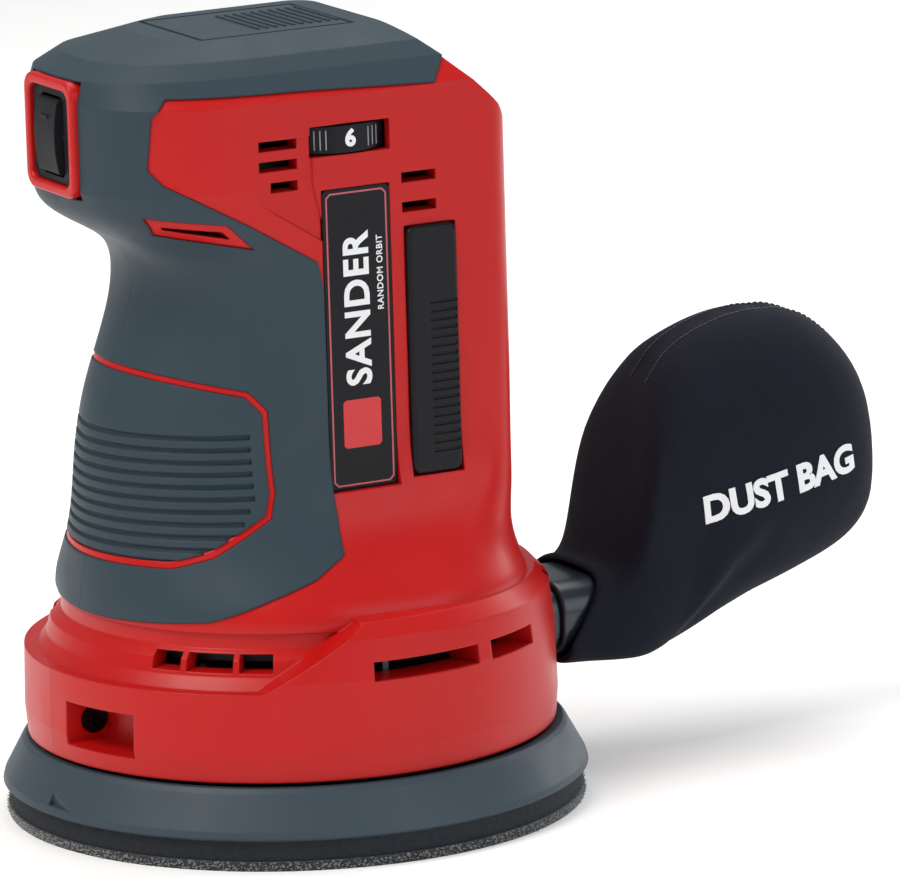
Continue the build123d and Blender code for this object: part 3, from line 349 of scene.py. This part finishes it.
def makeBag():
    p = bagShape
    bm = bmesh.new()
    loops = []
    first, last = p["rings"][0][0], p["rings"][-1][0]
    count = int((last - first) / p["step"])
    angles = [2 * math.pi * k / p["around"] for k in range(p["around"])]
    for i in range(count + 1):
        y = first + (last - first) * i / count
        low, high, half, square = smoothTable(p["rings"], y)
        ring = []
        for angle in angles:
            v = ringPoint(y, low, high, half, angle, square)
            if y < p["neckEnd"]:
                share = (y - first) / (p["neckEnd"] - first)
                start = mouthStart(v.z)
                v.y = start + (p["neckEnd"] - start) * share
            ring.append(bm.verts.new(v * mm))
        loops.append(ring)
    # the lining: back from the mouth along the sleeve, round the frame, closed behind it
    inner = [(0.0, 15.0, 24.2, 41.8), (12.0, 15.0, 24.2, 41.8), (15.0, 17.4, 22.2, 43.8),
             (20.6, 17.4, 22.2, 43.8), (22.0, 10.0, 27.0, 39.0), (22.2, 4.0, 31.0, 35.0)]
    inside = []
    for along, half, low, high in inner:
        ring = []
        for angle in angles:
            v = ringPoint(first + along, low, high, half, angle, 3.4)
            if along < 12.0:
                v.y = mouthStart(v.z)
            ring.append(bm.verts.new(v * mm))
        inside.append(ring)
    loops = inside[::-1] + loops
    for near, far in zip(loops, loops[1:]):
        for k in range(p["around"]):
            n = (k + 1) % p["around"]
            bm.faces.new((near[k], near[n], far[n], far[k]))
    for ring in (loops[0], loops[-1]):
        middle = sum((v.co for v in ring), Vector()) / len(ring)
        pole = bm.verts.new(middle)
        for k in range(p["around"]):
            bm.faces.new((ring[k], ring[(k + 1) % p["around"]], pole))
    mesh = bpy.data.meshes.new("bag_cloth")
    bmesh.ops.recalc_face_normals(bm, faces=bm.faces)
    bm.to_mesh(mesh)
    bm.free()
    rest = [v.co.copy() for v in mesh.vertices]
    obj = bpy.data.objects.new("bag_cloth", mesh)
    scene.collection.objects.link(obj)
    blowUp(obj, p)
    limit = p["cap"] * mm
    neck = (p["neckEnd"] + 1) * mm
    for v, home in zip(mesh.vertices, rest):
        move = v.co - home
        ease = min(max((home.y - neck) / (10 * mm), 0.0), 1.0)
        if move.length > limit:
            move *= limit / move.length
        v.co = home + move * ease
    # the perimeter seam draws the cloth in and puckers it
    for v, home in zip(mesh.vertices, rest):
        if home.y > neck and abs(home.x) < 9 * mm:
            run = math.atan2(home.z - 0.06, home.y - 0.105)
            near = math.exp(-(home.x / (2.6 * mm)) ** 2)
            pull = (0.55 + 0.5 * math.sin(run * 34) + 0.25 * math.sin(run * 57 + 1)) * mm
            v.co -= v.normal * pull * near * min((home.y - neck) / (8 * mm), 1.0)
    for poly in mesh.polygons:
        poly.use_smooth = True
    smooth = obj.modifiers.new("smooth", "SUBSURF")
    smooth.levels = smooth.render_levels = 1
    placed(obj, finish["wovenPolyester"], "bag")
    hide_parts("dust_bag")
    return obj


def blowUp(obj, p):  # pressure swells the panels, the neck is held on its sleeve
    held = obj.vertex_groups.new(name="held")
    for v in obj.data.vertices:
        if v.co.y < (p["neckEnd"] + 1) * mm:
            held.add([v.index], 1.0, "ADD")
    cloth = obj.modifiers.new("cloth", "CLOTH")
    s = cloth.settings
    s.quality = 6
    s.mass = 0.2
    s.tension_stiffness = s.compression_stiffness = 18
    s.shear_stiffness = 8
    s.bending_stiffness = 0.6
    s.use_pressure = True
    s.uniform_pressure_force = p["pressure"]
    s.shrink_min = -0.03
    s.vertex_group_mass = "held"
    s.effector_weights.gravity = 0
    scene.frame_start, scene.frame_end = 1, p["frames"]
    cloth.point_cache.frame_start, cloth.point_cache.frame_end = 1, p["frames"]
    for frameNo in range(1, p["frames"] + 1):
        scene.frame_set(frameNo)
    settled = obj.evaluated_get(bpy.context.evaluated_depsgraph_get()).to_mesh()
    places = [v.co.copy() for v in settled.vertices]
    obj.modifiers.remove(cloth)
    for v, co in zip(obj.data.vertices, places):
        v.co = co
    obj.data.update()
    scene.frame_set(1)


bagPiece = makeBag()
bagTree = BVHTree.FromObject(bagPiece, bpy.context.evaluated_depsgraph_get())
print("dust bag made")


def stitchRow(name, spots, length, thick, mat, body):  # short threads along a line of spots
    bm = bmesh.new()
    for (a, na), (b, _) in zip(spots[::2], spots[1::2]):
        way = (b - a).normalized()
        side = way.cross(na).normalized()
        rings = []
        for t, lift in ((0.0, -0.3), (0.25, 0.5), (0.75, 0.5), (1.0, -0.3)):
            centre = a + way * length * t * mm + na * lift * thick * mm
            rings.append([bm.verts.new(centre + (side * math.cos(q) + na * math.sin(q))
                                       * thick * 0.5 * mm)
                          for q in (0, math.pi / 2, math.pi, 1.5 * math.pi)])
        for near, far in zip(rings, rings[1:]):
            for k in range(4):
                bm.faces.new((near[k], near[(k + 1) % 4], far[(k + 1) % 4], far[k]))
        bm.faces.new(rings[0])
        bm.faces.new(rings[-1])
    return meshPiece(name, bm, mat, body)


seam = {"aside": 3.4, "middle": (0.106, 0.06), "reach": 0.09, "from": -112, "step": 1.13,
        "count": 236, "firstY": 0.088, "stitch": 1.5, "thick": 0.34, "longest": 4}


def bagSeam():  # stitches each side of the perimeter seam
    p = seam
    spots = []
    for side in (-1, 1):
        for i in range(p["count"]):
            turn = math.radians(p["from"] + i * p["step"])
            aim = Vector((0, math.cos(turn), math.sin(turn)))
            start = Vector((side * p["aside"] * mm, *p["middle"])) + aim * p["reach"]
            hit, normal, _, _ = bagTree.ray_cast(start, -aim)
            if hit is None or hit.y < p["firstY"]:
                hit, normal = None, None
            spots.append((hit, normal))
    kept = [(spots[i], spots[i + 1]) for i in range(0, len(spots) - 1, 2)
            if spots[i][0] is not None and spots[i + 1][0] is not None
            and (spots[i + 1][0] - spots[i][0]).length < p["longest"] * mm]
    flat = [s for pair in kept for s in pair]
    stitchRow("seam_stitches", flat, p["stitch"], p["thick"], finish["polyesterThread"],
              "bag")


bagSeam()


def onBag(mesh, origin, tilt, lift):  # lay flat letters on the bag's left side
    turn = math.radians(tilt)
    for v in mesh.vertices:
        u, w, d = v.co
        y = origin[0] + u * math.cos(turn) - w * math.sin(turn)
        z = origin[1] + u * math.sin(turn) + w * math.cos(turn)
        hit, normal, _, _ = bagTree.ray_cast(Vector((0.06, y, z)), Vector((-1, 0, 0)))
        v.co = Vector((hit.x + lift + d, y, z))


def divided(mesh, cuts):  # letters cut finer, so that they can follow a curved surface
    bm = bmesh.new()
    bm.from_mesh(mesh)
    bmesh.ops.remove_doubles(bm, verts=bm.verts, dist=0.00001)
    bmesh.ops.triangulate(bm, faces=bm.faces)
    bmesh.ops.subdivide_edges(bm, edges=bm.edges, cuts=cuts, use_grid_fill=True)
    bmesh.ops.recalc_face_normals(bm, faces=bm.faces)
    bm.to_mesh(mesh)
    bm.free()


bagWords = {"text": "DUST BAG", "size": 8.6, "weight": 0.36, "centre": (113.0, 57.6), "tilt": 9.5}
words = textMesh(bagWords["text"], bagWords["size"] * mm, bagWords["weight"] * mm, 0.06 * mm)
divided(words, 1)
onBag(words, [c * mm for c in bagWords["centre"]], bagWords["tilt"], 0.18 * mm)
placed(bpy.data.objects.new("bag_print", words), finish["whiteInk"], "bag")
print("bag seam and print made")

# ---- label plates: outline, words and a plain red patch, printed on both sides
label = {"face": 33.05, "y": 2.3, "z": 107.0, "width": 16.0, "height": 65.0, "inset": 0.75,
         "line": 0.36, "film": 0.08, "cut": 1.0}


def onSide(mesh, side, y, z, turned):  # flat letters onto a side face; turned reads upwards
    for v in mesh.vertices:
        u, w, d = v.co
        if turned:
            u, w = -w, u
        v.co = Vector((side * (label["face"] * mm + label["film"] * mm / 2 + d),
                       y * mm + side * u, z * mm + w))


def frameLine(width, height, line, cut, depth):  # a thin outline with cut corners, as a mesh
    def corners(w, h, c):
        return [(w - c, h), (w, h - c), (w, -h + c), (w - c, -h), (-w + c, -h), (-w, -h + c),
                (-w, h - c), (-w + c, h)]
    bm = bmesh.new()
    outer = corners(width / 2, height / 2, cut)
    inner = corners(width / 2 - line, height / 2 - line, cut * 0.8)
    layers = [[[bm.verts.new((x * mm, y * mm, d * mm)) for x, y in ring] for ring in (outer, inner)]
              for d in (-depth / 2, depth / 2)]
    for k in range(8):
        n = (k + 1) % 8
        (lo, li), (uo, ui) = layers
        bm.faces.new((uo[k], uo[n], ui[n], ui[k]))
        bm.faces.new((lo[k], li[k], li[n], lo[n]))
        bm.faces.new((lo[k], lo[n], uo[n], uo[k]))
        bm.faces.new((li[k], ui[k], ui[n], li[n]))
    bmesh.ops.recalc_face_normals(bm, faces=bm.faces)
    mesh = bpy.data.meshes.new("outline")
    bm.to_mesh(mesh)
    bm.free()
    return mesh


def plateMesh(width, height, cut, depth):  # a thin solid plate with cut corners
    w, h, c = width / 2, height / 2, cut
    ring = [(w - c, h), (w, h - c), (w, -h + c), (w - c, -h), (-w + c, -h), (-w, -h + c),
            (-w, h - c), (-w + c, h)]
    bm = bmesh.new()
    low, high = [[bm.verts.new((x * mm, y * mm, d * mm)) for x, y in ring]
                 for d in (-depth / 2, depth / 2)]
    bm.faces.new(high)
    bm.faces.new(low[::-1])
    for k in range(8):
        n = (k + 1) % 8
        bm.faces.new((low[k], low[n], high[n], high[k]))
    bmesh.ops.recalc_face_normals(bm, faces=bm.faces)
    mesh = bpy.data.meshes.new("plate")
    bm.to_mesh(mesh)
    bm.free()
    return mesh


def placedPrint(name, mesh, ink, side, y, z, turned=False, body="housing"):
    onSide(mesh, side, y, z, turned)
    bm = bmesh.new()
    bm.from_mesh(mesh)
    bmesh.ops.recalc_face_normals(bm, faces=bm.faces)
    bm.to_mesh(mesh)
    bm.free()
    return placed(bpy.data.objects.new(name, mesh), finish[ink], body)


def printLabels():
    p = label
    for side, hand in ((1, "left"), (-1, "right")):
        outline = frameLine(p["width"] - 2 * p["inset"], p["height"] - 2 * p["inset"],
                            p["line"], p["cut"], p["film"])
        placedPrint(f"label_outline_{hand}", outline, "pinkInk", side, p["y"], p["z"])
        title = textMesh("SANDER", 8.2 * mm, 0.24 * mm, p["film"] / 2 * mm, 1.1)
        placedPrint(f"label_title_{hand}", title, "whiteInk", side, p["y"] - 0.1 * side,
                    113.2, True)
        small = textMesh("RANDOM ORBIT", 2.0 * mm, 0.03 * mm, p["film"] / 2 * mm, 1.1)
        placedPrint(f"label_line_{hand}", small, "whiteInk", side, p["y"] + 5.3 * side, 120.6,
                    True)
        square = plateMesh(9.0, 10.4, 0.6, p["film"])
        placedPrint(f"label_square_{hand}", square, "redInk", side, p["y"], 88.6)


printLabels()
print("label plates printed")

# ---- dial: numerals and ticks on its rim
dial = {"centre": (17.3, 1.4, 150.1), "radius": 16.0, "spacing": 45.0, "size": 4.9}


def onRim(mesh, angle):  # wrap flat shapes round the dial's rim
    cx, cy, cz = (c * mm for c in dial["centre"])
    for v in mesh.vertices:
        u, w, d = v.co
        r = dial["radius"] * mm + d + 0.03 * mm
        turn = math.radians(angle) + u / (dial["radius"] * mm)
        v.co = Vector((cx + r * math.cos(turn), cy + r * math.sin(turn), cz + w))


def dialPrint():
    for k in range(6):
        mesh = textMesh(str(6 - k), dial["size"] * mm, 0.22 * mm, 0.05 * mm)
        divided(mesh, 1)
        onRim(mesh, k * dial["spacing"])
        placed(bpy.data.objects.new(f"dial_number_{6 - k}", mesh), finish["whiteInk"], "dial")
    for k in range(-1, 6):
        for i, share in enumerate((0.4, 0.5, 0.6)):
            bar = plateMesh(0.24, 4.2, 0.06, 0.1)
            onRim(bar, (k + share) * dial["spacing"] - 1.5)
            placed(bpy.data.objects.new(f"dial_tick_{k + 2}_{i + 1}", bar), finish["greyInk"],
                   "dial")


dialPrint()
print("dial printed")

# ---- pad edge: the loose nylon loops round the hook face
fringe = {"seed": 11, "count": 1500, "radius": 62.3, "low": 0.15, "high": 1.9, "reach": 0.75}


def hookFringe():
    rng = random.Random(fringe["seed"])
    bm = bmesh.new()
    for i in range(fringe["count"]):
        a = 2 * math.pi * i / fringe["count"] + rng.uniform(-0.002, 0.002)
        out = Vector((math.cos(a), math.sin(a), 0))
        along = Vector((-math.sin(a), math.cos(a), 0))
        start = Vector((1.0, 0, rng.uniform(fringe["low"], fringe["high"]))) \
            + out * fringe["radius"]
        tip = out * rng.uniform(0.4, 1.0) * fringe["reach"] + along * rng.uniform(-0.5, 0.5) \
            + Vector((0, 0, rng.uniform(-0.35, 0.35)))
        tip.z = max(tip.z, 0.08 - start.z)
        rings = []
        for t, r in ((0.0, 0.13), (0.6, 0.12), (1.0, 0.07)):
            centre = start + tip * t + along * 0.12 * math.sin(t * 3)
            rings.append([bm.verts.new((centre + (along * math.cos(q) + Vector((0, 0, 1))
                                                  * math.sin(q)) * r) * mm)
                          for q in (0, 2.1, 4.2)])
        for near, far in zip(rings, rings[1:]):
            for k in range(3):
                bm.faces.new((near[k], near[(k + 1) % 3], far[(k + 1) % 3], far[k]))
        bm.faces.new(rings[0])
        bm.faces.new(rings[-1])
    return meshPiece("hook_fringe", bm, finish["nylonLoops"], "pad")


hookFringe()


ribs = {"count": 10, "firstY": -7.5, "pitch": 2.1, "z": 171.2, "size": (20, 0.9, 0.5),
        "edge": 0.18}


def roofRibs():  # the grip ribs moulded at the rear of the roof panel
    p = ribs
    bm = bmesh.new()
    for i in range(p["count"]):
        y = p["firstY"] + i * p["pitch"]
        size = [side * mm for side in p["size"]]
        bmesh.ops.create_cube(bm, size=1.0, matrix=Matrix.Translation((0, y * mm, p["z"] * mm))
                              @ Matrix.Diagonal((*size, 1)))
    bmesh.ops.bevel(bm, geom=bm.edges, offset=p["edge"] * mm, segments=2, affect="EDGES")
    return meshPiece("roof_ribs", bm, finish["slateTpe"], "housing", False)


roofRibs()
print("fringe and ribs made")

# ---- camera and light
view = {"azimuth": 62.0, "elevation": 12.4, "roll": 1.7, "distance": 2.0, "right": 0.0337,
        "up": 0.0777, "lens": 368.0}


def addCamera():
    a, e, r = (math.radians(view[k]) for k in ("azimuth", "elevation", "roll"))
    ahead = Vector((-math.sin(a) * math.cos(e), math.cos(a) * math.cos(e), -math.sin(e)))
    level = Vector((math.cos(a), math.sin(a), 0))
    upright = level.cross(ahead)
    right = level * math.cos(r) - upright * math.sin(r)
    up = upright * math.cos(r) + level * math.sin(r)
    cam = bpy.data.cameras.new("camera")
    cam.lens = view["lens"]
    cam.clip_end = 20
    obj = bpy.data.objects.new("camera", cam)
    spot = right * view["right"] + up * view["up"] - ahead * view["distance"]
    turn = Matrix((right, up, -ahead)).transposed().to_4x4()
    obj.matrix_world = Matrix.Translation(spot) @ turn
    scene.collection.objects.link(obj)
    scene.camera = obj
    return right, up, ahead


right, up, ahead = addCamera()

lamps = {  # place in metres from the origin: to the right, up and towards the camera
    "key": {"spot": (-0.75, 0.95, 0.75), "size": 0.8, "power": 15, "colour": "#fffaf4"},
    "fill": {"spot": (0.95, 0.35, 0.9), "size": 0.9, "power": 4.5, "colour": "#f4f8ff"},
    "top": {"spot": (0.1, 1.2, -0.2), "size": 0.9, "power": 6.5, "colour": "#ffffff"},
    "rim": {"spot": (0.9, 0.6, -0.8), "size": 0.6, "power": 6, "colour": "#ffffff"},
}
for name, p in lamps.items():
    light = bpy.data.lights.new(name, "AREA")
    light.size = p["size"]
    light.energy = p["power"]
    light.color = srgb(p["colour"])[:3]
    lamp = bpy.data.objects.new(name, light)
    aim = Vector((0, 0.03, 0.085))
    lamp.location = aim + right * p["spot"][0] + up * p["spot"][1] - ahead * p["spot"][2]
    lamp.rotation_euler = (aim - lamp.location).to_track_quat("-Z", "Y").to_euler()
    scene.collection.objects.link(lamp)

world = bpy.data.worlds.new("studio")
scene.world = world
world.use_nodes = True
world.node_tree.nodes["Background"].inputs["Color"].default_value = srgb("#f2f4f7")
world.node_tree.nodes["Background"].inputs["Strength"].default_value = 0.36
scene.view_settings.view_transform = "Standard"

floorMat, floorTree, floorShader = newMaterial("matteFloor", "#f4f4f3", 0.7)
floorCoord = addNode(floorTree, "ShaderNodeTexCoord").outputs["Object"]
tinted(floorTree, floorShader, floorCoord, "#fafaf9", "#f6f6f5", 300)
floorShader.inputs["Emission Color"].default_value = srgb("#ffffff")
floorShader.inputs["Emission Strength"].default_value = 0.16
floorMesh = bpy.data.meshes.new("floor")
bm = bmesh.new()
bmesh.ops.create_grid(bm, x_segments=1, y_segments=1, size=6)
bm.to_mesh(floorMesh)
bm.free()
floorMesh.materials.append(floorMat)
floor = bpy.data.objects.new("floor", floorMesh)
scene.collection.objects.link(floor)
print("camera, lights and floor ready")
